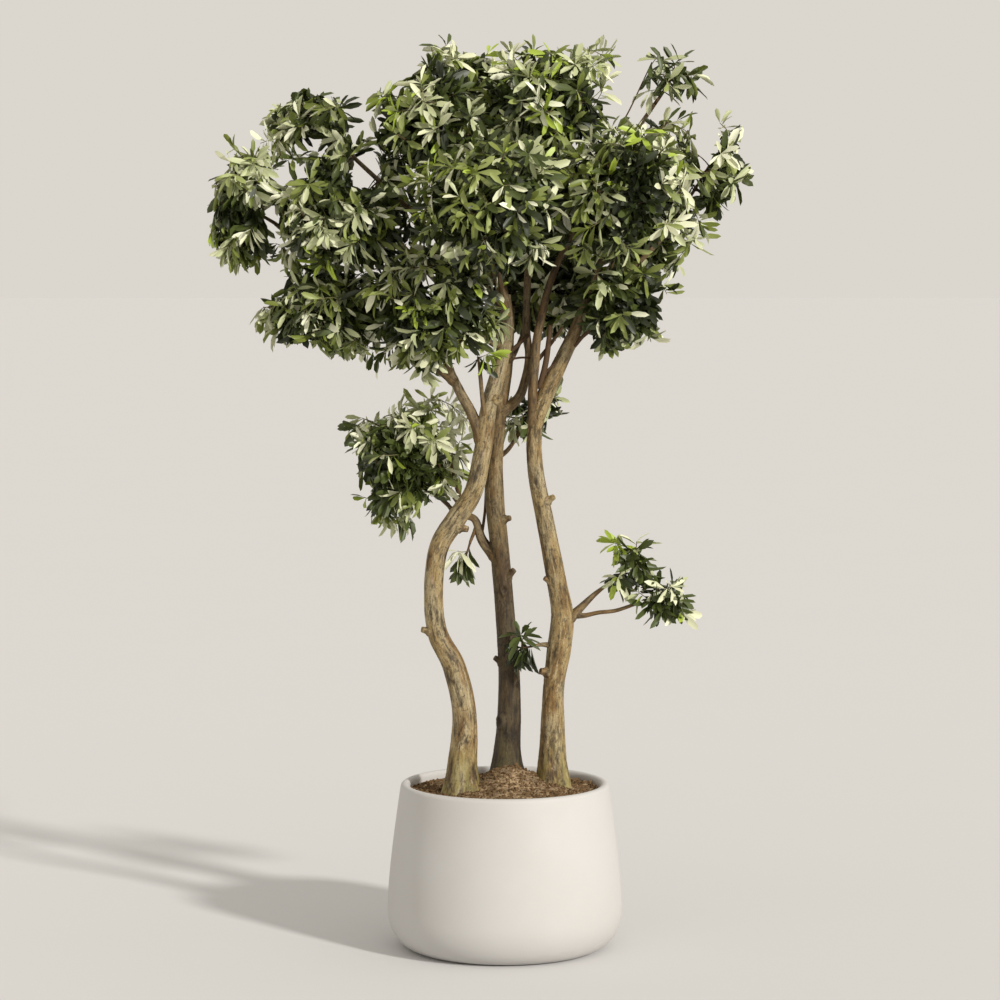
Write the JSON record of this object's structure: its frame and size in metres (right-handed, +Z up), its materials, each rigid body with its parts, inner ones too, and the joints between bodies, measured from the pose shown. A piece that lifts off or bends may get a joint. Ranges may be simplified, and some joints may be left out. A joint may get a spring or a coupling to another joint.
{
  "type": "potted olive tree",
  "caption": "Multi-stemmed olive tree with an irregular, airy crown, growing in a round tapered planter filled with soil.",
  "frame": {"origin": "centre of the planter's flat underside", "axes": "+Z up, along the stems; +X to the tree's right seen from its front; +Y away from its front"},
  "size_m": [1.34, 0.9319, 2.2253],
  "materials": {
    "planter": "smooth matt off-white fibre cement",
    "soil": "loose coarse soil with bark and grit",
    "bark": "pale khaki-brown bark, finely fissured",
    "bough_bark": "young brown bark",
    "foliage": "leathery grey-green leaves, paler below"
  },
  "bodies": {
    "root": {"pot": "planter", "soil": "soil", "stem_left": "bark", "stem_middle": "bark", "stem_right": "bark", "bough_left_fork": "bough_bark", "bough_left_low": "bough_bark", "bough_far_left": "bough_bark", "bough_upper_left": "bough_bark", "bough_top_left": "bough_bark", "bough_front": "bough_bark", "bough_over_fork": "bough_bark", "bough_fork_cluster": "bough_bark", "bough_middle_right": "bough_bark", "bough_low_left": "bough_bark", "bough_hanging": "bough_bark", "bough_top_back": "bough_bark", "bough_back": "bough_bark", "bough_left_back": "bough_bark", "bough_under_back": "bough_bark", "bough_behind_fork": "bough_bark", "bough_right_inner": "bough_bark", "bough_right_up": "bough_bark", "bough_right_out": "bough_bark", "bough_right_back": "bough_bark", "bough_lower_right": "bough_bark", "bough_low_right_upper": "bough_bark", "bough_low_right_lower": "bough_bark", "bough_small_left": "bough_bark", "leaves_far_left": "foliage", "leaves_upper_left": "foliage", "leaves_mid_left": "foliage", "leaves_left_back": "foliage", "leaves_lower_left": "foliage", "leaves_top_left": "foliage", "leaves_top_back": "foliage", "leaves_top_centre": "foliage", "leaves_front": "foliage", "leaves_back": "foliage", "leaves_over_fork": "foliage", "leaves_under_back": "foliage", "leaves_right_front": "foliage", "leaves_right_back": "foliage", "leaves_right_tip": "foliage", "leaves_top_right": "foliage", "leaves_lower_right": "foliage", "leaves_low_left": "foliage", "leaves_behind_fork": "foliage", "leaves_low_right_upper": "foliage", "leaves_low_right_lower": "foliage", "leaves_small_left": "foliage", "leaves_hanging": "foliage", "leaves_fork_cluster": "foliage"}
  },
  "joints": []
}
